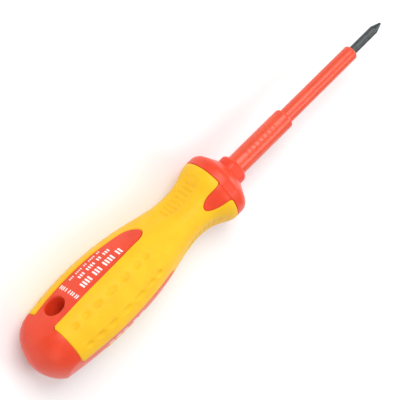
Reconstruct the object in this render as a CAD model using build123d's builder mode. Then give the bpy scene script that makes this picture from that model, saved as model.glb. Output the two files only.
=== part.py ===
"""Insulated cross-tip screwdriver: steel blade, insulating sleeves and a two-colour moulded handle.

The driver lies along X with its tip towards +X and rests on z = 0. Stations along the driver are
measured from the front of the guard, positive towards the tip. Rolls are angles round the axis, 0 on
top. Round the handle, three lobes of the grip, each with a tongue of the guard in line with it, take
turns with three flat panels: one underneath and one on each side of the top lobe.
"""

import os
from math import sqrt

from build123d import *

# Overall layout
blade_reach = 75.0
handle_length = 90.5
guard_x = (handle_length - blade_reach) / 2

# Blade: round bar with a cross tip in front and two pressed wings on its tang
blade_radius = 1.5
tip_length = 3.3
tip_end_radius = 0.35
flute_length = 4.6
flute_root_radius = 0.28
flute_angle = 86.0
flute_depth = 4.0
tang_station = -60.0
wing_station = -48.0
wing_length = 9.0
wing_span = 6.4
wing_thickness = 1.5
wing_corner = 1.2

# Insulation on the blade: a thin tube, and a thicker sleeve over its rear half
bare_length = 14.2
tube_radius = 2.62
tube_station = -16.0
tube_nose_radius = 1.0
sleeve_radius = 3.65
sleeve_station = -10.0
sleeve_end_station = 27.7
sleeve_nose_radius = 0.9

# Ring at the mouth of the handle
collar_radius = 5.2
collar_end_station = 3.6
collar_nose_radius = 1.5
collar_facet_height = 5.0
collar_root_radius = 4.6
collar_root_station = -5.0
face_step = 0.4

# Handle outline: radius at stations from the butt to the guard's rim
belly_radius = 13.85
rim_radius = 11.8
rim_rear_station = -8.4
rim_front_station = -5.6
shoulder_radius = 3.0
shoulder_turn = 60.0
nose_radius = 6.2
dome = [(-handle_length, 0), (-88.1, 7.2), (-84.6, 10.8)]
flank = [
    (-77.0, 12.8), (-62.5, belly_radius), (-46.0, 12.75), (-34.0, 10.4),
    (-28.0, 9.05), (-22.0, 8.4), (-15.0, 9.3), (-12.0, 10.6),
]

# Soft grip: a sleeve with three windows for the panels and three slots for the tongues
grip_rear_station = -79.5
grip_front_station = -7.8
grip_thickness = 2.3
window_half_outline = [
    (-84.0, 5.4), (-75.0, 5.75), (-63.0, 5.95), (-52.5, 5.5), (-44.5, 4.5), (-39.0, 3.0), (-36.0, 0),
]
tongue_half_outline = [(-7.0, 3.6), (-9.5, 3.2), (-12.5, 2.75), (-15.2, 1.8), (-16.8, 0)]

# Hard body: panels flat across, on one long curve; a narrow facet down the guard ahead of each tongue
side_panel_roll = 65.0
panel_curve = [(-91.0, 9.1), (-78.6, 11.1), (-66.5, 12.2), (-53.7, 12.35), (-44.9, 11.75), (-36.0, 10.6)]
facet_curve = [(-7.2, 11.6), (-5.6, 11.6), (-4.15, 11.2), (-3.1, 10.15), (-0.4, 6.0)]
cutter_half_width = 7.5
cutter_height = 20.0

# Hanging hole through one side panel, a little off square to it. On its far side the hard body comes out
# through the grip round it, as a tab with a rounded front that joins the butt to the other side panel
hole_radius = 3.6
hole_station = -73.4
hole_roll = -69.0
hole_lip_height = 11.1
hole_lip_depth = 1.5
tab_rear_station = -86.0
tab_front_radius = 4.7
tab_width = 12.4

# Core moulded round the tang, stopped short of the hanging hole
core_outline = [
    (-68.0, 0), (-68.0, 5.5), (-66.0, 7.5), (-44.0, 7.5), (-26.0, 5.0), (-10.0, 5.0), (-10.0, 0),
]

# The driver rests on the grip's two edges beside its lowest panel
resting_half_width = 5.93
axis_height = sqrt(belly_radius**2 - resting_half_width**2)

axis_point = (guard_x, 0, axis_height)
driver_axis = Axis(axis_point, (1, 0, 0))
side_plane = Plane(origin=axis_point, x_dir=(1, 0, 0), z_dir=(0, -1, 0))
top_plane = Plane(origin=axis_point, x_dir=(1, 0, 0), z_dir=(0, 0, 1))
panel_rolls = (-side_panel_roll, side_panel_roll, 180)
lower_tongue_roll = (180 + side_panel_roll) / 2
tongue_rolls = (0, lower_tongue_roll, -lower_tongue_roll)
hole_plane = top_plane.rotated((hole_roll, 0, 0))


def section(points):
    """Closed polyline of stations and radii on the side plane, as a face."""
    with BuildSketch(side_plane) as outline:
        with BuildLine():
            Polyline(*points, close=True)
        make_face()
    return outline.sketch


def sleeve_section(rear, front, inner, outer):
    """Section of a plain sleeve between two stations and two radii."""
    return section([(rear, inner), (front, inner), (front, outer), (rear, outer)])


def leaf(half_outline, roll):
    """Outline with a rounded end, symmetric about the meridian at this roll, seen from outside."""
    with BuildSketch(top_plane.rotated((roll, 0, 0))) as outline:
        with BuildLine():
            run = half_outline[1][0] - half_outline[0][0]
            half = Spline(*half_outline, tangents=[(run, 0), (0, -1)], tangent_scalars=(1, 1))
            mirror(half, about=Plane.XZ)
            Line(half @ 0, (half_outline[0][0], -half_outline[0][1]))
        make_face()
    return outline.sketch


def above(curve, roll, smooth):
    """Region outside a curve of stations and heights in the meridian plane at this roll."""
    with BuildSketch(side_plane.rotated((roll, 0, 0))) as region:
        with BuildLine():
            lower = Spline(*curve) if smooth else Polyline(*curve)
            top = [(curve[-1][0], cutter_height), (curve[0][0], cutter_height)]
            Polyline(lower @ 1, *top, lower @ 0)
        make_face()
    return region.sketch


def front_rim(ring):
    """Outer circle of a ring's front face."""
    return ring.edges().filter_by(GeomType.CIRCLE).group_by(Axis.X)[-1].sort_by(SortBy.RADIUS)[-1]


with BuildSketch(side_plane) as envelope:
    with BuildLine():
        back_points = [*dome, *flank, (rim_rear_station, rim_radius)]
        back = Spline(*back_points, tangents=[(0, 1), (1, 0)], tangent_scalars=(1, 1))
        rim = Line(back @ 1, (rim_front_station, rim_radius))
        shoulder = JernArc(rim @ 1, (1, 0), shoulder_radius, -shoulder_turn)
        Polyline(shoulder @ 1, (-face_step, nose_radius), (-face_step, 0), back @ 0)
    make_face()

with BuildSketch(side_plane) as grip_bed:
    with BuildLine():
        bed = Spline(*[(station, radius - grip_thickness) for station, radius in flank])
        rim_bed_radius = rim_radius - grip_thickness
        front = Polyline(bed @ 1, (rim_rear_station, rim_bed_radius), (0, rim_bed_radius))
        Polyline(front @ 1, (0, 0), (-handle_length, 0), (-handle_length, (bed @ 0).Y), bed @ 0)
    make_face()

# Steel blade: bar, cross tip and pressed wings
with BuildPart() as blade:
    bar_end = blade_reach - tip_length
    bar = [(tang_station, 0), (tang_station, blade_radius), (bar_end, blade_radius)]
    revolve(section([*bar, (blade_reach, tip_end_radius), (blade_reach, 0)]), axis=driver_axis)
    for roll in (45, 135, 225, 315):
        meridian = side_plane.rotated((roll, 0, 0))
        root_start = meridian.from_local_coords(Vector(blade_reach - flute_length, blade_radius))
        root_end = meridian.from_local_coords(Vector(blade_reach, flute_root_radius))
        flute_plane = Plane(origin=root_start, x_dir=-meridian.z_dir, z_dir=root_end - root_start)
        with BuildSketch(flute_plane):
            with BuildLine():
                left = PolarLine((0, 0), flute_depth, 90 + flute_angle / 2)
                right = PolarLine((0, 0), flute_depth, 90 - flute_angle / 2)
                Line(left @ 1, right @ 1)
            make_face()
        extrude(amount=2 * flute_length, mode=Mode.SUBTRACT)
    with BuildSketch(top_plane):
        with Locations((wing_station, 0)):
            RectangleRounded(wing_length, wing_span, wing_corner)
    extrude(amount=wing_thickness / 2, both=True)

# Thin insulating tube, leaving only the tip bare
with BuildPart() as blade_insulation:
    tube_end = blade_reach - bare_length
    revolve(sleeve_section(tube_station, tube_end, blade_radius, tube_radius), axis=driver_axis)
    fillet(front_rim(blade_insulation), tube_nose_radius)

# Thicker sleeve over the rear of the tube
with BuildPart() as neck_sleeve:
    revolve(sleeve_section(sleeve_station, sleeve_end_station, tube_radius, sleeve_radius), axis=driver_axis)
    fillet(front_rim(neck_sleeve), sleeve_nose_radius)

# Collar ring at the handle's mouth, rounded in front, with a facet in line with each tongue
with BuildPart() as mouth_collar:
    revolve(sleeve_section(-face_step, collar_end_station, sleeve_radius, collar_radius), axis=driver_axis)
    fillet(front_rim(mouth_collar), collar_nose_radius)
    facet_line = [(-face_step, collar_facet_height), (collar_end_station, collar_facet_height)]
    for roll in tongue_rolls:
        extrude(above(facet_line, roll, False), amount=cutter_half_width, both=True, mode=Mode.SUBTRACT)
    root = sleeve_section(collar_root_station, -face_step, sleeve_radius, collar_root_radius)
    revolve(root, axis=driver_axis)

# First-shot core, moulded round the tang and the rear end of the tube
with BuildPart() as handle_core:
    revolve(section(core_outline), axis=driver_axis)
    add(blade.part, mode=Mode.SUBTRACT)
    add(blade_insulation.part, mode=Mode.SUBTRACT)

# Space for the soft grip: a band round the handle, open outwards, less its bed, the panels' windows,
# the tongues' slots and the tab round the far end of the hanging hole
with BuildPart() as grip_space:
    band_plane = Plane(origin=side_plane.from_local_coords(Vector(grip_rear_station, 0)), z_dir=(1, 0, 0))
    with BuildSketch(band_plane):
        Circle(cutter_height)
    extrude(amount=grip_front_station - grip_rear_station)
    revolve(grip_bed.sketch, axis=driver_axis, mode=Mode.SUBTRACT)
    for roll in panel_rolls:
        extrude(leaf(window_half_outline, roll), amount=2 * cutter_height, mode=Mode.SUBTRACT)
    for roll in tongue_rolls:
        extrude(leaf(tongue_half_outline, roll), amount=2 * cutter_height, mode=Mode.SUBTRACT)
    tab_front_station = hole_station + tab_front_radius
    with BuildSketch(hole_plane):
        with Locations(((tab_rear_station + tab_front_station) / 2, tab_front_radius - tab_width / 2)):
            RectangleRounded(tab_front_station - tab_rear_station, tab_width, tab_front_radius)
    extrude(amount=-2 * cutter_height, mode=Mode.SUBTRACT)

# Soft grip, flush with the hard body all round
with BuildPart() as grip:
    revolve(envelope.sketch, axis=driver_axis)
    add(grip_space.part, mode=Mode.INTERSECT)

# Hard body: guard, tongues, panels and butt in one moulding, with the hanging hole through it
with BuildPart() as handle_body:
    revolve(envelope.sketch, axis=driver_axis)
    add(grip_space.part, mode=Mode.SUBTRACT)
    for roll in panel_rolls:
        extrude(above(panel_curve, roll, True), amount=cutter_half_width, both=True, mode=Mode.SUBTRACT)
    for roll in tongue_rolls:
        extrude(above(facet_curve, roll, False), amount=cutter_half_width, both=True, mode=Mode.SUBTRACT)
    with BuildSketch(hole_plane):
        with Locations((hole_station, 0)):
            Circle(hole_radius)
    extrude(amount=cutter_height, both=True, mode=Mode.SUBTRACT)
    with BuildSketch(hole_plane.offset(hole_lip_height)):
        with Locations((hole_station, 0)):
            Circle(hole_radius)
    extrude(amount=hole_lip_depth, taper=-45, mode=Mode.SUBTRACT)
    for neighbour in (handle_core, mouth_collar, neck_sleeve, blade_insulation, blade):
        add(neighbour.part, mode=Mode.SUBTRACT)

os.makedirs("parts", exist_ok=True)
pieces = {
    "blade": blade,
    "blade_insulation": blade_insulation,
    "neck_sleeve": neck_sleeve,
    "mouth_collar": mouth_collar,
    "handle_core": handle_core,
    "handle_body": handle_body,
    "grip": grip,
}
for name, piece in pieces.items():
    piece.part.label = name
    export_step(piece.part, f"parts/{name}.step")
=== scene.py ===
"""Looks for the insulated screwdriver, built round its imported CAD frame.

The two plastics of the handle, the collar, the sleeve and the tube are fine closed meshes on the same
outlines as the CAD; the blade and the hidden core keep their CAD meshes. Shapes are worked out in
millimetres about the driver's axis, at stations measured from the front of the guard, and at angles
from the top towards +Y. The axis and the guard's place are read from the frame.
"""

import math

import bpy
import numpy as np
from mathutils import Matrix, Vector


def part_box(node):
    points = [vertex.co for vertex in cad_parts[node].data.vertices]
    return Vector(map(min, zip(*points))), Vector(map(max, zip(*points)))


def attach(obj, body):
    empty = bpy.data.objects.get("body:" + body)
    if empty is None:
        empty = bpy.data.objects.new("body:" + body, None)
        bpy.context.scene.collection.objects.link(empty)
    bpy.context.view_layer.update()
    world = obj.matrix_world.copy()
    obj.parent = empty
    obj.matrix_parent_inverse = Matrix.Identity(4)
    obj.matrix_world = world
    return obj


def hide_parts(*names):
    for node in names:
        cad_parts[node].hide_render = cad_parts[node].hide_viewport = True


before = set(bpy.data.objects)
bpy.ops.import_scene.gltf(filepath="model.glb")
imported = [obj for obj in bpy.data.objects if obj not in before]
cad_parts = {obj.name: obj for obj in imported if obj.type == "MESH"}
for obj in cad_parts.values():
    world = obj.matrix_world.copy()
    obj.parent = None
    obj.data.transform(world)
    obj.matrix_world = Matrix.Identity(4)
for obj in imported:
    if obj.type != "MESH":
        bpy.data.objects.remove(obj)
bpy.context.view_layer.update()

MM = 0.001
BLADE_REACH = 75.0
blade_low, blade_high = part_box("blade")
GUARD_X = blade_high.x - BLADE_REACH * MM
AXIS_Z = (blade_low.z + blade_high.z) / 2

# Handle outline, in millimetres
HANDLE_LENGTH = 90.5
FACE_STEP = 0.4
RIM_RADIUS = 11.8
RIM_REAR = -8.4
RIM_FRONT = -5.6
SHOULDER = 3.0
SHOULDER_TURN = 60.0
NOSE_RADIUS = 6.2
BELLY_RADIUS = 13.85
DOME_AND_FLANK = [
    (-HANDLE_LENGTH, 0), (-88.1, 7.2), (-84.6, 10.8), (-77.0, 12.8), (-62.5, BELLY_RADIUS), (-46.0, 12.75),
    (-34.0, 10.4), (-28.0, 9.05), (-22.0, 8.4), (-15.0, 9.3), (-12.0, 10.6), (RIM_REAR, RIM_RADIUS),
]
# Stations, and how far the lobes stand out of a circle there and the section falls in between them
LOBES = [(-90.5, 0), (-87, 0.5), (-80, 0.55), (-55, 0.5), (-38, 0.7), (-20, 0.75), (-13, 0.5), (-9, 0)]
# The core's cavity, from the mouth to its blind end
CAVITY = [
    (-FACE_STEP, 4.62), (-5.0, 4.62), (-5.0, 3.67), (-10.0, 3.67), (-10.0, 5.02), (-26.0, 5.02),
    (-44.0, 7.52), (-66.0, 7.52), (-68.0, 5.52), (-68.0, 0),
]
# Stations and heights of a panel's middle line
PANEL_CURVE = [
    (-91.0, 9.3), (-84.0, 10.3), (-78.6, 11.1), (-66.5, 12.2), (-53.7, 12.35), (-44.9, 11.75),
    (-36.0, 10.6),
]
PANEL_CROWN = 0.015
FACET_HALF_WIDTH = 2.2
FACET_REAR = -7.5
# Angles from a meridian, in radians, within which a flat is cut and within which it is worked out at all
FLAT_REACH = 1.0
REACH = 1.2
# A distance and a height so large that nothing is cut there
FAR = 9.0
CLEAR_HEIGHT = 30.0

# Soft grip over the hard body
GRIP_REAR = -79.5
GRIP_FRONT = -7.8
GRIP_THICKNESS = 2.3
# Outlines where the hard body comes through, as stations and sides of a meridian; the windows run out
# past the grip's rear end
BOTTOM_WINDOW = [
    (-84.0, 5.4), (-75.0, 5.75), (-63.0, 5.95), (-52.5, 5.5), (-44.5, 4.5), (-39.0, 3.0), (-36.0, 0),
]
SIDE_WINDOW = [
    (-84.0, 5.4), (-75.0, 5.8), (-66.5, 6.0), (-53.0, 5.65), (-45.0, 4.65), (-41.0, 4.0), (-37.2, 2.7),
    (-36.1, 0.8), (-37.0, -1.2), (-39.5, -3.3), (-44.0, -4.35), (-52.0, -5.35), (-61.0, -5.9),
    (-75.0, -5.7), (-84.0, -5.3),
]
TONGUE = [(-7.0, 3.6), (-9.5, 3.2), (-12.5, 2.75), (-15.2, 1.8), (-16.8, 0)]
# The second side window is the first one's mirror image, with its lower side wider by this share
WIDE_SHARE = 1.17
# A tongue lies below the guard by the drop, which comes in over the run
TONGUE_DROP = 0.22
TONGUE_DROP_RUN = 0.5
TONGUE_CLEAR = -25.0
# Rounding of the outlines' corners, of the two plastics' edges and of the creases beside the flats
CORNER_ROUNDING = 0.9
GRIP_EDGE = 0.45
BODY_EDGE = 0.2
SEAM_GAP = 0.07
BED_GAP = 0.02
CREASE = 0.4
FACET_CREASE = 0.07
BUTT_CREASE = 0.1
BUTT_CREASE_STATION = -82.0

# Hanging hole across the handle, from one side panel. On its far side the body comes out round it as a
# tab with a rounded front, which joins the butt to the other side panel
HOLE_ANGLE = math.radians(69.0)
HOLE_STATION = -73.4
HOLE_RADIUS = 3.6
HOLE_EDGE = 0.6
TAB_FRONT_RADIUS = 4.7
TAB_REAR = -86.0
TAB_WIDTH = 12.4
TAB_ROUNDING = 2.4
TAB_ANGLE = HOLE_ANGLE + math.pi
PANEL_ANGLES = [math.radians(turn) for turn in (65.0, 295.0, 180.0)]
TONGUE_ANGLES = [math.radians(turn) for turn in (0.0, 122.5, 237.5)]

# Relief of the soft grip: two rows of dimples on each lobe, a ribbed thumb pad ahead of each panel
DIMPLES = [(-74.6, 1.5), (-69.9, 1.9), (-64.7, 2.1), (-58.4, 2.4), (-52.3, 2.3), (-46.7, 1.9), (-42.4, 1.4)]
DIMPLE_ROW_ANGLES = [math.radians(16.8), math.radians(-16.8)]
DIMPLE_HALF_WIDTH = 1.15
DIMPLE_DEPTH = 0.6
DIMPLE_POWER = 0.75
RIB_FIRST = -26.55
RIB_PITCH = 1.84
RIB_COUNT = 8
RIB_HALF_WIDTH = 3.1
RIB_GROOVE = 0.45
RIB_DEPTH = 0.5
RIB_FADE = 0.8
RIB_INSET = 0.6
PAD_OUTLINE = [(-10.6, 0), (-11.1, 2.8), (-14.0, 4.1), (-20.0, 4.0), (-27.0, 2.9), (-34.5, 0)]
PAD_DEPTH = 0.35
PAD_EDGE = 0.9

# Plain printed ticks on the side panels: each is (start, end) stations and (low, high) sides of the panel
PRINT_LIFT = 0.03
TICK_ROWS = [
    # first station, pitch, width, low side, high side, which places of the row have a tick
    (-63.4, 1.12, 0.62, 1.3, 3.7, "11110111 1111011"),
    (-61.6, 0.92, 0.5, -1.8, -0.4, "111011110110111"),
    (-63.8, 0.72, 0.34, -4.0, -3.2, "1110111101101111011"),
]
CROSS_SIDES = (-4.4, -3.5, -2.6, -1.4, 0.2, 1.4, 2.3, 3.5, 4.3)
CROSS_ROW = [((-67.8, -66.4), (side - 0.22, side + 0.22)) for side in CROSS_SIDES]
PRINT_BARS = CROSS_ROW + [
    ((first + i * pitch, first + i * pitch + width), (low, high))
    for first, pitch, width, low, high, places in TICK_ROWS
    for i, place in enumerate(places) if place == "1"
]
SHORT_PRINT = [((start, start + 2.0), (-0.4, 1.2)) for start in (-68.0, -65.0, -62.0, -57.5, -54.5)]

# Collar, sleeve and tube; the last two are (start, end, radius)
COLLAR_END = 3.6
COLLAR_RADIUS = 5.2
COLLAR_NOSE = 1.5
COLLAR_FACET = 4.72
COLLAR_ROOT = (-5.0, 4.6)
SLEEVE = (-10.0, 27.7, 3.65)
SLEEVE_NOSE = 0.9
TUBE = (-16.0, 60.8, 2.62)
TUBE_NOSE = 1.0
BLADE_RADIUS = 1.5
MARK_FIRST = 8.4
MARK_PITCH = 1.86
MARK_COUNT = 8
MARK_ANGLE = math.radians(25)
MARK_LEAN = 0.15
MARK_HALF_LENGTH = 1.6
MARK_HALF_WIDTH = 0.22
MARK_RISE = 0.1
MARK_FADE = 0.3

# Size of the meshes' cells, and how finely the round pieces are divided
GRIP_CELL = 0.36
BODY_CELL = 0.45
GUARD_CELL = BODY_CELL / 2
GUARD_CELLS_FROM = GRIP_FRONT - 1
COLLAR_CELL, COLLAR_COLUMNS = 0.2, 144
SLEEVE_CELL, MARK_CELL, SLEEVE_NOSE_CELL, SLEEVE_COLUMNS = 0.5, 0.16, 0.18, 132
TUBE_CELL, TUBE_NOSE_CELL, TUBE_COLUMNS = 0.9, 0.16, 96
NOSE_MARGIN = 0.3
SHARP_ANGLE = math.radians(38.0)
LIP_TURNS = np.radians([22.5, 45.0, 67.5, 90.0])
HOLE_RIM_TURNS = np.radians([18.0, 36.0, 54.0, 72.0, 90.0])
HOLE_WALL_SHARES = (0.75, 0.5, 0.25)
# A point nearer a cut than this share of a cell is moved onto it. Slopes are taken over the probe, and the
# slope and the radius are kept above small values so that the move stays short
SNAP_SHARE = 0.25
PROBE = 0.02
LEAST_SLOPE_SQUARED = 0.3
LEAST_RADIUS = 1.0


# ---------------------------------------------------------------- curves
def spline(points, start=None, end=None, count=400):
    """Cubic spline through points, by chord length, with unit end tangents where they are given."""
    p = np.array(points, float)
    h = np.linalg.norm(np.diff(p, axis=0), axis=1)
    t = np.concatenate([[0], np.cumsum(h)])
    n = len(p)
    a = np.zeros((n, n))
    b = np.zeros((n, 2))
    for i in range(1, n - 1):
        a[i, i - 1:i + 2] = 1 / h[i - 1], 2 / h[i - 1] + 2 / h[i], 1 / h[i]
        b[i] = 3 * ((p[i] - p[i - 1]) / h[i - 1] ** 2 + (p[i + 1] - p[i]) / h[i] ** 2)
    for i, j, tangent, step in ((0, 1, start, h[0]), (n - 1, n - 2, end, h[-1])):
        if tangent is None:
            a[i, i], a[i, j] = 2, 1
            b[i] = 3 * (p[max(i, j)] - p[min(i, j)]) / step
        else:
            a[i, i] = 1
            b[i] = tangent
    m = np.linalg.solve(a, b)
    s = np.linspace(0, t[-1], count)
    k = np.clip(np.searchsorted(t, s, side="right") - 1, 0, n - 2)
    u = ((s - t[k]) / h[k])[:, None]
    hk = h[k][:, None]
    return ((2 * u**3 - 3 * u**2 + 1) * p[k] + (u**3 - 2 * u**2 + u) * hk * m[k]
            + (3 * u**2 - 2 * u**3) * p[k + 1] + (u**3 - u**2) * hk * m[k + 1])


def arc(centre, radius, start_deg, end_deg, count=24):
    """Points of a circular arc."""
    a = np.radians(np.linspace(start_deg, end_deg, count))
    return np.stack([centre[0] + radius * np.cos(a), centre[1] + radius * np.sin(a)], 1)


def respace(points, cell):
    """The same curve, with its points about a cell apart; cell may be a function of the station."""
    points = np.array(points, float)
    length = np.linalg.norm(np.diff(points, axis=0), axis=1)
    middle = (points[1:, 0] + points[:-1, 0]) / 2
    cost = length / (cell(middle) if callable(cell) else cell)
    total = np.concatenate([[0], np.cumsum(cost)])
    want = np.linspace(0, total[-1], max(1, round(total[-1])) + 1)
    return np.stack([np.interp(want, total, points[:, 0]), np.interp(want, total, points[:, 1])], 1)


def soft_min(a, b, k):
    """Smaller of the two, with the corner between them rounded over about k."""
    h = np.maximum(k - np.abs(a - b), 0) / k
    return np.minimum(a, b) - h * h * k / 4


def soft_step(t):
    """Smooth step from 0 to 1."""
    t = np.clip(t, 0, 1)
    return t * t * (3 - 2 * t)


def off_meridian(phi, meridian):
    """Angle from a meridian, between -pi and pi."""
    return (phi - meridian + np.pi) % (2 * np.pi) - np.pi


def both_sides(half):
    """Closed outline from one half of it and its mirror image about y = 0."""
    return np.concatenate([half, half[::-1][1:] * [1, -1]])


def outline_distance(ring, x, y):
    """Signed distance to a closed outline, positive outside it."""
    best = np.full(x.shape, 1e9)
    inside = np.zeros(x.shape, bool)
    for p, q in zip(ring, np.roll(ring, -1, axis=0)):
        d = q - p
        t = np.clip(((x - p[0]) * d[0] + (y - p[1]) * d[1]) / max(d @ d, 1e-12), 0, 1)
        best = np.minimum(best, np.hypot(x - p[0] - t * d[0], y - p[1] - t * d[1]))
        if d[1]:
            inside ^= ((p[1] > y) != (q[1] > y)) & (x < p[0] + (y - p[1]) * d[0] / d[1])
    return np.where(inside, -best, best)


SKIN = np.concatenate([
    spline(DOME_AND_FLANK, (0, 1), (1, 0), 900),
    arc((RIM_FRONT, RIM_RADIUS - SHOULDER), SHOULDER, 90, 90 - SHOULDER_TURN),
    [(-FACE_STEP, NOSE_RADIUS)],
])
SIDE_RING = spline(SIDE_WINDOW, (1, 0), (-1, 0), 120)
BOTTOM_RING = both_sides(spline(BOTTOM_WINDOW, (1, 0), (0, -1), 60))
WIDE_RING = SIDE_RING * np.where(SIDE_RING[:, 1:] < 0, [1, WIDE_SHARE], [1, 1])
WINDOWS = list(zip(PANEL_ANGLES, (SIDE_RING * [1, -1], WIDE_RING, BOTTOM_RING)))
TONGUE_RING = both_sides(spline(TONGUE, (-1, 0), (0, -1), 40))
PAD_RING = both_sides(spline(PAD_OUTLINE, (0, 1), None, 60))
PANEL_LINE = spline(PANEL_CURVE)
HOLE_AXIS = np.array([0, math.sin(HOLE_ANGLE), math.cos(HOLE_ANGLE)])
HOLE_ACROSS = np.array([0, HOLE_AXIS[2], -HOLE_AXIS[1]])
HOLE_CENTRE = np.array([HOLE_STATION, 0, 0])


def envelope(x):
    """Mean radius of the handle at a station."""
    return np.interp(x, SKIN[:, 0], SKIN[:, 1])


def section_radius(x, phi):
    """Radius of the handle's outline, which is three soft lobes round the axis."""
    return envelope(x) + np.interp(x, *np.array(LOBES).T) * np.cos(3 * phi)


# ---------------------------------------------------------------- regions and heights on the handle
def leaf_distance(x, phi, meridian, ring):
    """Distance to an outline laid over the handle along a meridian, positive outside it."""
    off = off_meridian(phi, meridian)
    side = envelope(x) * np.sin(off)
    near = (np.abs(off) < REACH) & (x > ring[:, 0].min() - FAR) & (x < ring[:, 0].max() + FAR)
    d = np.full(np.shape(x), FAR)
    d[near] = outline_distance(ring, x[near], side[near])
    return d


def tab_distance(x, phi):
    """Distance to the tab round the hanging hole's far end, positive outside it."""
    off = off_meridian(phi, TAB_ANGLE)
    front = HOLE_STATION + TAB_FRONT_RADIUS
    half_length = (front - TAB_REAR) / 2 - TAB_FRONT_RADIUS
    half_width = TAB_WIDTH / 2 - TAB_FRONT_RADIUS
    along = np.maximum(np.abs(x - (front + TAB_REAR) / 2) - half_length, 0)
    across = np.maximum(np.abs(envelope(x) * np.sin(off) + half_width) - half_width, 0)
    return np.where(np.abs(off) < REACH, np.hypot(along, across) - TAB_FRONT_RADIUS, FAR)


def grip_distance(x, phi):
    """Distance inside the soft grip's edge, negative over the hard body."""
    d = np.minimum(x - GRIP_REAR, GRIP_FRONT - x)
    for meridian, ring in WINDOWS:
        d = soft_min(d, leaf_distance(x, phi, meridian, ring), CORNER_ROUNDING)
    for meridian in TONGUE_ANGLES:
        d = soft_min(d, leaf_distance(x, phi, meridian, TONGUE_RING), CORNER_ROUNDING)
    return soft_min(d, tab_distance(x, phi), TAB_ROUNDING)


def panel_height(x):
    """Height of a panel's middle line over the axis."""
    return np.where(x < PANEL_CURVE[-1][0], np.interp(x, PANEL_LINE[:, 0], PANEL_LINE[:, 1]), CLEAR_HEIGHT)


def facet_height(x):
    """Height of the guard's facets over the axis, for one width at every station."""
    height = np.sqrt(np.maximum(envelope(x) ** 2 - FACET_HALF_WIDTH**2, 1))
    return np.where(x > FACET_REAR, height, CLEAR_HEIGHT)


def flat_radius(height, off):
    """Radius of a flat that stands at a height over the axis, at an angle from its middle line."""
    return height / np.cos(np.clip(off, -REACH, REACH))


def body_radius(x, phi):
    """Radius of the hard body: lobed, with crowned panels and small facets cut across it."""
    r = section_radius(x, phi)
    panel_crease = np.where(x < BUTT_CREASE_STATION, BUTT_CREASE, CREASE)
    cuts = (
        (PANEL_ANGLES, panel_height(x), PANEL_CROWN, panel_crease),
        (TONGUE_ANGLES, facet_height(x), 0, FACET_CREASE),
    )
    for meridians, height, crown, crease in cuts:
        for meridian in meridians:
            off = off_meridian(phi, meridian)
            flat = flat_radius(height, off) - crown * (r * np.sin(off)) ** 2
            r = np.where(np.abs(off) < FLAT_REACH, soft_min(r, flat, crease), r)
    return r - TONGUE_DROP * soft_step((GRIP_FRONT - x) / TONGUE_DROP_RUN) * (x > TONGUE_CLEAR)


def bed_radius(x, phi):
    """Radius of the soft grip's inner surface."""
    return section_radius(x, phi) - GRIP_THICKNESS


def body_bed_radius(x, phi):
    """Radius of the hard body's bed under the soft grip."""
    return bed_radius(x, phi) - BED_GAP


def hole_distance(x, phi):
    """Distance outside the hanging hole's wall, at either of its ends."""
    return np.hypot(x - HOLE_STATION, body_radius(x, phi) * np.sin(phi - HOLE_ANGLE)) - HOLE_RADIUS


def grip_radius(x, phi):
    """Radius of the soft grip: the lobed outline with dimples, thumb pads and ribs."""
    skin = section_radius(x, phi)
    relief = np.zeros(np.shape(x))
    for meridian in TONGUE_ANGLES:
        for row in DIMPLE_ROW_ANGLES:
            side = skin * off_meridian(phi, meridian + row)
            for station, half_length in DIMPLES:
                taper = np.clip(1 - ((x - station) / half_length) ** 2, 0, 1)
                hollow = np.clip(taper - (side / DIMPLE_HALF_WIDTH) ** 2, 0, 1)
                relief -= DIMPLE_DEPTH * hollow**DIMPLE_POWER
    for meridian in PANEL_ANGLES:
        side = skin * off_meridian(phi, meridian)
        inside = -leaf_distance(x, phi, meridian, PAD_RING)
        relief -= PAD_DEPTH * soft_step(inside / PAD_EDGE)
        across = soft_step((RIB_HALF_WIDTH - np.abs(side)) / RIB_FADE) * soft_step(inside / RIB_INSET)
        for i in range(RIB_COUNT):
            offset = x - RIB_FIRST - i * RIB_PITCH
            relief -= RIB_DEPTH * across * np.exp(-((offset / RIB_GROOVE) ** 2))
    return skin + relief


# ---------------------------------------------------------------- meshes
def on_axis(x, phi, r):
    """Points at stations, angles and radii, in millimetres."""
    x, phi, r = np.broadcast_arrays(x, phi, r)
    return np.stack([x, r * np.sin(phi), r * np.cos(phi)], -1)


def make_object(name, points, faces):
    """Mesh object from points in millimetres about the driver's axis, smooth but for its sharp edges."""
    metres = np.array(points, float) * MM + [GUARD_X, 0, AXIS_Z]
    used = sorted({v for face in faces for v in face})
    number = {v: i for i, v in enumerate(used)}
    mesh = bpy.data.meshes.new(name)
    mesh.from_pydata(metres[used].tolist(), [], [[number[v] for v in face] for face in faces])
    mesh.shade_smooth()
    mesh.set_sharp_from_angle(angle=SHARP_ANGLE)
    piece = bpy.data.objects.new(name, mesh)
    bpy.context.scene.collection.objects.link(piece)
    return piece


def bands(rows, columns):
    """Quads round the axis between rows of columns points, facing outwards if stations rise."""
    faces = []
    for i in range(rows - 1):
        for j in range(columns):
            a = i * columns + j
            b = i * columns + (j + 1) % columns
            faces.append((a, a + columns, b + columns, b))
    return faces


def fan(ring, pole):
    """Triangles from a ring of points to a pole."""
    return [(a, b, pole) for a, b in zip(ring, ring[1:] + ring[:1])]


def round_grid(profile, columns):
    """Stations and angles of a grid round the axis."""
    x = np.repeat(profile[:, 0], columns)
    phi = np.tile(np.arange(columns) * 2 * np.pi / columns, len(profile))
    return x, phi


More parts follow.
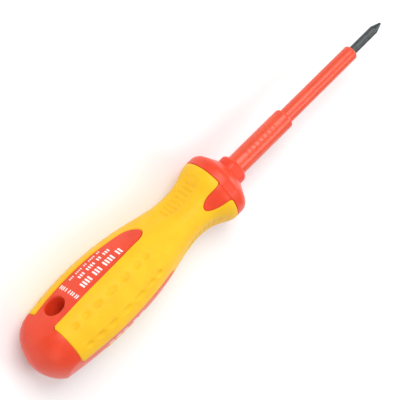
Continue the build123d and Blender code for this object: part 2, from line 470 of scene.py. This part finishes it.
def onto(x, phi, distance, target=0.0):
    """Moves points square to the lines of equal distance, to where distance has the target value."""
    for _ in range(3):
        r = np.maximum(envelope(x), LEAST_RADIUS)
        here = distance(x, phi)
        slope_x = (distance(x + PROBE, phi) - here) / PROBE
        slope_s = (distance(x, phi + PROBE / r) - here) / PROBE
        step = (here - target) / np.maximum(slope_x**2 + slope_s**2, LEAST_SLOPE_SQUARED)
        x = x - step * slope_x
        phi = phi - step * slope_s / r
    return x, phi


def cut(x, phi, faces, distance, cell):
    """Splits faces along the zero line of distance; returns the points, faces inside and faces outside."""
    d = distance(x, phi)
    near = np.abs(d) < SNAP_SHARE * cell
    x, phi = x.copy(), phi.copy()
    x[near], phi[near] = onto(x[near], phi[near], distance)
    d[near] = 0
    side = np.sign(d)
    crossings = {}
    inside, outside = [], []

    def crossing(a, b):
        return crossings.setdefault((min(a, b), max(a, b)), len(x) + len(crossings))

    def split(corners):
        kept = {1: [], -1: []}
        for a, b in zip(corners, corners[1:] + corners[:1]):
            for sign, polygon in kept.items():
                if side[a] * sign >= 0:
                    polygon.append(a)
                if side[a] * side[b] < 0:
                    polygon.append(crossing(a, b))
        for sign, faces_there in ((1, inside), (-1, outside)):
            if len(kept[sign]) > 2 and any(v >= len(x) or side[v] == sign for v in kept[sign]):
                faces_there.append(tuple(kept[sign]))

    for face in faces:
        signs = [side[v] for v in face]
        if min(signs) >= 0:
            inside.append(face)
        elif max(signs) <= 0:
            outside.append(face)
        elif len(face) == 3:
            split(face)
        else:
            turn = 1 if signs[1] == 0 or signs[3] == 0 else 0
            a, b, c, e = face[turn:] + face[:turn]
            split((a, b, c))
            split((a, c, e))
    a, b = np.array(list(crossings)).T
    t = d[a] / (d[a] - d[b])
    new_phi = phi[a] + t * off_meridian(phi[b], phi[a])
    new_x, new_phi = onto(x[a] + t * (x[b] - x[a]), new_phi, distance)
    return np.append(x, new_x), np.append(phi, new_phi), inside, outside


def edges_of(faces):
    """Directed edges of faces."""
    return {(a, b) for face in faces for a, b in zip(face, face[1:] + face[:1])}


def strip(edges, before, after):
    """Quads that join each edge of one ring to the same edge of the next."""
    return [(before[b], before[a], after[a], after[b]) for a, b in edges]


class Shell:
    """Points and faces of one closed mesh, gathered surface by surface."""

    def __init__(self):
        self.points = []
        self.faces = []
        self.count = 0

    def add(self, points):
        """Adds points and returns their numbers."""
        self.points.append(points)
        self.count += len(points)
        return list(range(self.count - len(points), self.count))

    def all_points(self):
        return np.concatenate(self.points)


def rounded_wall(shell, edges, x, phi, distance, levels, radius, edge, floor):
    """Rounds a surface's open edge over, then takes a wall down to the floor; returns the last ring.

    levels are the distances at which the rounding starts and ends.
    """
    rim = sorted({v for e in edges for v in e})
    before = {v: v for v in rim}
    rim_x, rim_phi = x[rim], phi[rim]
    start, end = levels
    for turn in LIP_TURNS:
        rim_x, rim_phi = onto(rim_x, rim_phi, distance, start + (end - start) * math.sin(turn))
        r = radius(rim_x, rim_phi) - edge * (1 - math.cos(turn))
        after = dict(zip(rim, shell.add(on_axis(rim_x, rim_phi, r))))
        shell.faces += strip(edges, before, after)
        before = after
    after = dict(zip(rim, shell.add(on_axis(rim_x, rim_phi, floor(rim_x, rim_phi)))))
    shell.faces += strip(edges, before, after)
    return after


def make_grip():
    """Soft grip: relief outside, bed inside, and rounded lips round its windows, slots and ends."""
    margin = 3 * GRIP_CELL
    profile = respace(SKIN, GRIP_CELL)
    profile = profile[(profile[:, 0] > GRIP_REAR - margin) & (profile[:, 0] < GRIP_FRONT + margin)]
    columns = round(2 * math.pi * BELLY_RADIUS / GRIP_CELL)
    x, phi = round_grid(profile, columns)
    faces = bands(len(profile), columns)
    x, phi, faces, _ = cut(x, phi, faces, lambda x, phi: grip_distance(x, phi) - GRIP_EDGE, GRIP_CELL)
    shell = Shell()
    shell.add(on_axis(x, phi, grip_radius(x, phi)))
    shell.faces += faces
    edges = edges_of(faces)
    edges = sorted((a, b) for a, b in edges if (b, a) not in edges)
    rim = rounded_wall(
        shell, edges, x, phi, grip_distance, (GRIP_EDGE, 0), grip_radius, GRIP_EDGE, bed_radius,
    )
    bed = shell.add(on_axis(x, phi, bed_radius(x, phi)))
    shell.faces += [tuple(rim.get(v, bed[v]) for v in reversed(face)) for face in faces]
    return make_object("grip_sleeve", shell.all_points(), shell.faces)


def hole_ring(points, inward, drop):
    """Points of a hole's rim moved towards its axis and down along it."""
    height = points @ HOLE_AXIS
    out = points - np.outer(height, HOLE_AXIS) - HOLE_CENTRE
    size = np.linalg.norm(out, axis=1, keepdims=True)
    out = out / size * (HOLE_RADIUS + HOLE_EDGE - inward)
    return out + HOLE_CENTRE + np.outer(height - np.sign(height) * drop, HOLE_AXIS)


def make_hole(shell, edges, points):
    """Rounded rims of the hanging hole and the wall between them, joined by angle at its middle."""
    rings = []
    for sign in (1, -1):
        here = [(a, b) for a, b in edges if (points[a] @ HOLE_AXIS) * sign > 0]
        rim = sorted({v for e in here for v in e})
        before = {v: v for v in rim}
        for turn in HOLE_RIM_TURNS:
            ring = hole_ring(points[rim], HOLE_EDGE * math.sin(turn), HOLE_EDGE * (1 - math.cos(turn)))
            after = dict(zip(rim, shell.add(ring)))
            shell.faces += strip(here, before, after)
            before = after
        for share in HOLE_WALL_SHARES:
            height = (points[rim] @ HOLE_AXIS) * (1 - share)
            after = dict(zip(rim, shell.add(ring - np.outer(height, HOLE_AXIS))))
            shell.faces += strip(here, before, after)
            before = after
        turn = np.arctan2(ring @ HOLE_ACROSS, ring[:, 0] - HOLE_STATION)
        order = np.argsort(turn)
        rings.append(([before[rim[i]] for i in order], turn[order]))
    (near, near_turn), (far, far_turn) = rings
    i, j = 0, 0
    while i < len(near) or j < len(far):
        next_near = near_turn[(i + 1) % len(near)] + 2 * math.pi * ((i + 1) // len(near))
        next_far = far_turn[(j + 1) % len(far)] + 2 * math.pi * ((j + 1) // len(far))
        if j == len(far) or (i < len(near) and next_near <= next_far):
            shell.faces.append((near[i % len(near)], near[(i + 1) % len(near)], far[j % len(far)]))
            i += 1
        else:
            shell.faces.append((far[(j + 1) % len(far)], far[j % len(far)], near[i % len(near)]))
            j += 1


def make_body():
    """Hard body: panels, facets and dome outside, a bed under the grip, the core's cavity inside."""
    profile = respace(SKIN, lambda x: np.where(x > GUARD_CELLS_FROM, GUARD_CELL, BODY_CELL))[1:]
    columns = round(2 * math.pi * BELLY_RADIUS / BODY_CELL)
    x, phi = round_grid(profile, columns)
    pole = len(x)
    x, phi = np.append(x, -HANDLE_LENGTH), np.append(phi, 0.0)
    faces = bands(len(profile), columns) + fan(list(range(columns)), pole)
    mouth = [(len(profile) - 1) * columns + j for j in range(columns)]
    start = SEAM_GAP + BODY_EDGE
    x, phi, bed, top = cut(x, phi, faces, lambda x, phi: grip_distance(x, phi) + start, BODY_CELL)
    x, phi, top, hole = cut(x, phi, top, lambda x, phi: hole_distance(x, phi) - HOLE_EDGE, BODY_CELL)
    shell = Shell()
    points = on_axis(x, phi, body_radius(x, phi))
    shell.add(points)
    shell.faces += top
    top_edges = edges_of(top)
    bed_edges = edges_of(bed)
    hole_edges = edges_of(hole)
    seam = sorted((a, b) for a, b in top_edges if (b, a) in bed_edges)
    rim = rounded_wall(
        shell, seam, x, phi, grip_distance, (-start, -SEAM_GAP), body_radius, BODY_EDGE, body_bed_radius,
    )
    below = shell.add(on_axis(x, phi, body_bed_radius(x, phi)))
    shell.faces += [tuple(rim.get(v, below[v]) for v in face) for face in bed]
    make_hole(shell, sorted((a, b) for a, b in top_edges if (b, a) in hole_edges), points)
    ring = mouth
    angles = np.arange(columns) * 2 * np.pi / columns
    around = list(zip(range(columns), [*range(1, columns), 0]))
    for station, radius in CAVITY[:-1]:
        deeper = shell.add(on_axis(station, angles, radius))
        shell.faces += [(ring[a], deeper[a], deeper[b], ring[b]) for a, b in around]
        ring = deeper
    end = shell.add(np.array([[CAVITY[-1][0], 0.0, 0.0]]))[0]
    shell.faces += fan(ring[::-1], end)
    return make_object("handle_shell", shell.all_points(), shell.faces)


def make_print():
    """Printed bars: thin closed slabs laid over the two side panels."""
    shell = Shell()
    for turn, panel, bars in ((-1, PANEL_ANGLES[0], PRINT_BARS), (1, PANEL_ANGLES[1], SHORT_PRINT)):
        for stations, sides in bars:
            across = np.linspace(*sides, 2 + round(sides[1] - sides[0]))
            along = np.linspace(*stations, 2 + round(stations[1] - stations[0]))
            x, side = (grid.ravel() for grid in np.meshgrid(along, across * turn, indexing="ij"))
            phi = panel + np.arcsin(side / BELLY_RADIUS)
            for _ in range(6):
                phi = panel + np.arcsin(side / body_radius(x, phi))
            r = body_radius(x, phi)
            top = shell.add(on_axis(x, phi, r + PRINT_LIFT))
            low = shell.add(on_axis(x, phi, r - PRINT_LIFT))
            columns = len(across)
            cells = [i * columns + j for i in range(len(along) - 1) for j in range(columns - 1)]
            quads = [(a, a + columns, a + columns + 1, a + 1)[::turn] for a in cells]
            shell.faces += [tuple(top[v] for v in quad) for quad in quads]
            shell.faces += [tuple(low[v] for v in reversed(quad)) for quad in quads]
            edges = edges_of(quads)
            rim = [(a, b) for a, b in edges if (b, a) not in edges]
            shell.faces += [(top[b], top[a], low[a], low[b]) for a, b in sorted(rim)]
    return make_object("panel_print", shell.all_points(), shell.faces)


def lathe(name, outer, inner, columns, shape=None):
    """Ring of round section: an outer profile, shaped by a function if given, and an inner one."""
    x, phi = round_grid(outer, columns)
    r = np.repeat(outer[:, 1], columns)
    if shape:
        r = shape(x, phi, r)
    inner = np.array(inner, float)
    inner_x, inner_phi = round_grid(inner, columns)
    inner_r = np.repeat(inner[:, 1], columns)
    points = np.concatenate([on_axis(x, phi, r), on_axis(inner_x, inner_phi, inner_r)])
    rows = len(outer) + len(inner)
    faces = bands(rows, columns)
    last = (rows - 1) * columns
    for j in range(columns):
        k = (j + 1) % columns
        faces.append((last + j, j, k, last + k))
    return make_object(name, points, faces)


def nose_profile(start, end, radius, nose, cell):
    """Profile of a round bar from start to end, its front edge rounded."""
    front = arc((end - nose, radius - nose), nose, 90, 0, 12)
    return respace(np.concatenate([[(start, radius)], front]), cell)


def make_collar():
    """Collar ring at the handle's mouth, with a facet in line with each tongue."""

    def facets(x, phi, r):
        for meridian in TONGUE_ANGLES:
            off = off_meridian(phi, meridian)
            there = (np.abs(off) < FLAT_REACH) & (x > COLLAR_ROOT[0])
            r = np.where(there, soft_min(r, flat_radius(COLLAR_FACET, off), FACET_CREASE), r)
        return r

    face = nose_profile(-FACE_STEP, COLLAR_END, COLLAR_RADIUS, COLLAR_NOSE, COLLAR_CELL)
    outer = np.concatenate([[COLLAR_ROOT, (-FACE_STEP, COLLAR_ROOT[1])], face])
    inner = [(COLLAR_END, SLEEVE[2] + BED_GAP), (COLLAR_ROOT[0], SLEEVE[2] + BED_GAP)]
    return lathe("collar_ring", outer, inner, COLLAR_COLUMNS, facets)


def make_sleeve():
    """Neck sleeve with a row of plain slanted marks moulded on it."""

    def marks(x, phi, r):
        side = SLEEVE[2] * off_meridian(phi, MARK_ANGLE)
        rise = np.zeros(x.shape)
        for i in range(MARK_COUNT):
            along = x - MARK_FIRST - i * MARK_PITCH - MARK_LEAN * side
            past_end = np.maximum(np.abs(side) - MARK_HALF_LENGTH, 0)
            away = np.hypot(np.abs(along), past_end) - MARK_HALF_WIDTH
            rise = np.maximum(rise, soft_step(0.5 - away / MARK_FADE))
        return r + MARK_RISE * rise

    def cell(x):
        marked = (x > MARK_FIRST - 2) & (x < MARK_FIRST + MARK_COUNT * MARK_PITCH + 1)
        on_nose = x > end - SLEEVE_NOSE - NOSE_MARGIN
        return np.where(on_nose, SLEEVE_NOSE_CELL, np.where(marked, MARK_CELL, SLEEVE_CELL))

    start, end, radius = SLEEVE
    outer = nose_profile(start, end, radius, SLEEVE_NOSE, cell)
    inner = [(end, TUBE[2] + BED_GAP), (start, TUBE[2] + BED_GAP)]
    return lathe("sleeve_thick", outer, inner, SLEEVE_COLUMNS, marks)


def make_tube():
    """Thin insulating tube on the blade."""

    def cell(x):
        return np.where(x > end - TUBE_NOSE - NOSE_MARGIN, TUBE_NOSE_CELL, TUBE_CELL)

    start, end, radius = TUBE
    outer = nose_profile(start, end, radius, TUBE_NOSE, cell)
    inner = [(end, BLADE_RADIUS + BED_GAP), (start, BLADE_RADIUS + BED_GAP)]
    return lathe("sleeve_thin", outer, inner, TUBE_COLUMNS)


# ---------------------------------------------------------------- materials
class Nodes:
    """Short forms for building one material's node tree."""

    def __init__(self, name):
        self.material = bpy.data.materials.new(name)
        self.material.use_nodes = True
        self.tree = self.material.node_tree
        self.shader = self.tree.nodes["Principled BSDF"]
        self.place = self.tree.nodes.new("ShaderNodeTexCoord").outputs["Object"]

    def add(self, kind, settings=(), **inputs):
        """Adds a node, with its properties and its inputs set or linked by name."""
        node = self.tree.nodes.new("ShaderNode" + kind)
        for key, value in dict(settings).items():
            setattr(node, key, value)
        for key, value in inputs.items():
            self.set(node.inputs[key.replace("_", " ")], value)
        return node

    def set(self, socket, value):
        """Links a socket to an output, or gives it a value."""
        if isinstance(value, bpy.types.NodeSocket):
            self.tree.links.new(value, socket)
        else:
            socket.default_value = value

    def noise(self, scale, detail=3.0, roughness=0.55):
        """Noise over the piece, at a scale per metre."""
        node = self.add("TexNoise", Vector=self.place, Scale=scale, Detail=detail, Roughness=roughness)
        return node.outputs["Fac"]

    def ramp(self, factor, stops):
        """Colour ramp with stops of position and colour."""
        node = self.add("ValToRGB", Fac=factor)
        band = node.color_ramp
        while len(band.elements) < len(stops):
            band.elements.new(0.5)
        for element, (position, colour) in zip(band.elements, stops):
            element.position = position
            element.color = (*colour, 1) if isinstance(colour, tuple) else (colour, colour, colour, 1)
        return node.outputs["Color"]

    def bump(self, height, strength, distance):
        """Bump from a height, at a distance in metres."""
        return self.add("Bump", Height=height, Strength=strength, Distance=distance).outputs["Normal"]

    def shade(self, **inputs):
        """Sets or links the shader's inputs by name."""
        for key, value in inputs.items():
            self.set(self.shader.inputs[key.replace("_", " ")], value)

    def soften(self, weight, radius, scale):
        """Lets light a little way into the surface; the scale is in metres."""
        self.shade(Subsurface_Weight=weight, Subsurface_Radius=radius, Subsurface_Scale=scale)


def linear(red, green, blue):
    """Linear colour from a display colour of 0 to 255."""
    parts = [c / 255 for c in (red, green, blue)]
    return tuple(c / 12.92 if c <= 0.04045 else ((c + 0.055) / 1.055) ** 2.4 for c in parts)


def moulded_plastic(name, dark, light, rough, grain, specular):
    """Moulded plastic: faint cloudiness of colour, uneven gloss, fine grain."""
    n = Nodes(name)
    cloud = n.noise(160, 4, 0.6)
    fine = n.noise(5200, 2, 0.5)
    smear = n.noise(420, 5, 0.65)
    n.shade(
        Base_Color=n.ramp(cloud, [(0.3, dark), (0.7, light)]),
        Roughness=n.ramp(smear, [(0.3, rough[0]), (0.7, rough[1])]),
        Normal=n.bump(fine, grain, 0.00006),
        Specular_IOR_Level=specular,
    )
    return n


def yellow_grip():
    """Soft yellow overmould: matt, with a faint bloom."""
    n = moulded_plastic("yellow_grip", linear(234, 180, 14), linear(242, 190, 18), (0.46, 0.6), 0.35, 0.3)
    n.soften(0.12, (1.0, 0.6, 0.15), 0.0012)
    n.shade(Sheen_Weight=0.08, Sheen_Roughness=0.4)
    return n.material


def red_plastic(name, dark, light, rough, grain, specular):
    """Red moulded plastic, lit a little from within."""
    n = moulded_plastic(name, dark, light, rough, grain, specular)
    n.soften(0.1, (1.0, 0.25, 0.15), 0.001)
    return n.material


def steel():
    """Blackened steel: blotchy oxide with fine turning lines round the bar."""
    n = Nodes("oxidised_steel")
    blotch = n.noise(900, 6, 0.65)
    waves = {"Scale": 2600, "Distortion": 1.5, "Detail": 2.0}
    lines = n.add("TexWave", {"bands_direction": "X"}, Vector=n.place, **waves)
    n.shade(
        Base_Color=n.ramp(blotch, [(0.3, (0.055, 0.062, 0.064)), (0.75, (0.12, 0.128, 0.13))]),
        Roughness=n.ramp(n.noise(2600, 4), [(0.3, 0.34), (0.7, 0.5)]),
        Normal=n.bump(lines.outputs["Fac"], 0.25, 0.00002),
        Metallic=0.85,
    )
    return n.material


def core_plastic():
    """Dark plastic of the hidden core."""
    dark, light = linear(44, 44, 46), linear(56, 56, 58)
    return moulded_plastic("core_plastic", dark, light, (0.4, 0.55), 0.15, 0.5).material


def print_ink():
    """White printing ink, slightly uneven so that the plastic shows a little through it."""
    n = Nodes("white_print")
    wear = n.noise(2600, 5, 0.7)
    n.shade(
        Base_Color=n.ramp(wear, [(0.28, (0.86, 0.5, 0.45)), (0.42, (0.9, 0.87, 0.85))]),
        Roughness=n.ramp(n.noise(900), [(0.3, 0.45), (0.7, 0.6)]),
    )
    return n.material


def floor_material():
    """Pale matt studio floor."""
    n = Nodes("studio_floor")
    n.shade(
        Base_Color=n.ramp(n.noise(14, 4), [(0.3, 0.9), (0.7, 0.93)]),
        Roughness=n.ramp(n.noise(90), [(0.3, 0.75), (0.7, 0.85)]),
    )
    return n.material


# ---------------------------------------------------------------- the pieces
def dress(piece, material, slot, *nodes):
    """Gives a piece its material and its body, and the CAD nodes that it stands for. The slot argument is
    not used.
    """
    piece.data.materials.append(material)
    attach(piece, "root")
    if nodes:
        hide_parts(*nodes)


def wear_material(node, material):
    """Gives a CAD node's object a better material."""
    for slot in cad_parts[node].material_slots:
        slot.material = material


body_red = red_plastic(
    "red_hard_plastic", linear(220, 60, 30), linear(231, 71, 38), (0.30, 0.42), 0.12, 0.35,
)
sleeve_red = red_plastic(
    "red_insulation", linear(218, 72, 42), linear(228, 82, 48), (0.24, 0.34), 0.15, 0.5,
)
dress(make_grip(), yellow_grip(), "yellow_grip", "grip")
dress(make_body(), body_red, "red_hard_plastic", "handle_body")
dress(make_print(), print_ink(), "white_print")
dress(make_collar(), body_red, "red_hard_plastic", "mouth_collar")
dress(make_sleeve(), sleeve_red, "red_insulation", "neck_sleeve")
dress(make_tube(), sleeve_red, "red_insulation", "blade_insulation")
wear_material("blade", steel())
wear_material("handle_core", core_plastic())


# ---------------------------------------------------------------- stage, lights, camera
FLOOR_REACH = 3.0
VIEW_TILT = math.radians(16.5)
VIEW_ROLL = math.radians(18.5)
VIEW_TURN = math.radians(44.66)
VIEW_DISTANCE = 0.77
VIEW_WIDTH = 0.12955
VIEW_STATION = -13.0
VIEW_ASIDE = 0.00031
SENSOR_WIDTH = 36.0
# Soft boxes: name, place and size in metres, power in watts; and the place that they all face
SOFT_BOXES = [
    ("key", (0.10, 0.37, 0.67), 0.5, 3.9),
    ("side", (0.24, -0.40, 0.60), 0.3, 1.2),
    ("front", (0.72, -0.26, 0.17), 0.25, 1.3),
    ("fill", (-0.66, -0.10, 0.36), 0.5, 0.6),
]
LIT_PLACE = Vector((0, 0, 0.012))
BACKGROUND_STRENGTH = 0.55


def make_floor():
    """Plain floor, far wider than the driver."""
    low, high = -FLOOR_REACH, FLOOR_REACH
    mesh = bpy.data.meshes.new("floor")
    corners = [(low, low, 0), (high, low, 0), (high, high, 0), (low, high, 0)]
    mesh.from_pydata(corners, [], [(0, 1, 2, 3)])
    floor = bpy.data.objects.new("floor", mesh)
    bpy.context.scene.collection.objects.link(floor)
    floor.data.materials.append(floor_material())


def soft_light(name, place, size, power):
    """Square soft box at a place, facing the driver."""
    data = bpy.data.lights.new(name, "AREA")
    data.size = size
    data.energy = power
    light = bpy.data.objects.new(name, data)
    light.location = place
    light.rotation_mode = "QUATERNION"
    light.rotation_quaternion = (LIT_PLACE - Vector(place)).to_track_quat("-Z", "Y")
    bpy.context.scene.collection.objects.link(light)


def make_camera():
    """Camera above the driver, which points away to the upper right and leans towards +Y."""
    back = Vector((
        -math.sin(VIEW_TILT),
        math.cos(VIEW_TILT) * math.sin(VIEW_ROLL),
        math.cos(VIEW_TILT) * math.cos(VIEW_ROLL),
    ))
    along = (Vector((1, 0, 0)) - back * back.x).normalized()
    across = along.cross(back)
    right = math.cos(VIEW_TURN) * along + math.sin(VIEW_TURN) * across
    up = math.sin(VIEW_TURN) * along - math.cos(VIEW_TURN) * across
    data = bpy.data.cameras.new("camera")
    data.sensor_width = SENSOR_WIDTH
    data.lens = SENSOR_WIDTH * VIEW_DISTANCE / VIEW_WIDTH
    data.clip_start, data.clip_end = 0.01, 20
    camera = bpy.data.objects.new("camera", data)
    turn = Matrix((right, up, back)).transposed()
    target = Vector((GUARD_X + VIEW_STATION * MM, 0, AXIS_Z))
    target -= across * VIEW_ASIDE
    camera.matrix_world = Matrix.Translation(target + back * VIEW_DISTANCE) @ turn.to_4x4()
    bpy.context.scene.collection.objects.link(camera)
    bpy.context.scene.camera = camera


def make_lights():
    """Even white surroundings and the soft boxes."""
    world = bpy.data.worlds.new("studio")
    world.use_nodes = True
    background = world.node_tree.nodes["Background"]
    background.inputs["Color"].default_value = (1, 1, 1, 1)
    background.inputs["Strength"].default_value = BACKGROUND_STRENGTH
    bpy.context.scene.world = world
    for soft_box in SOFT_BOXES:
        soft_light(*soft_box)


make_floor()
make_lights()
make_camera()
bpy.context.scene.view_settings.view_transform = "Standard"
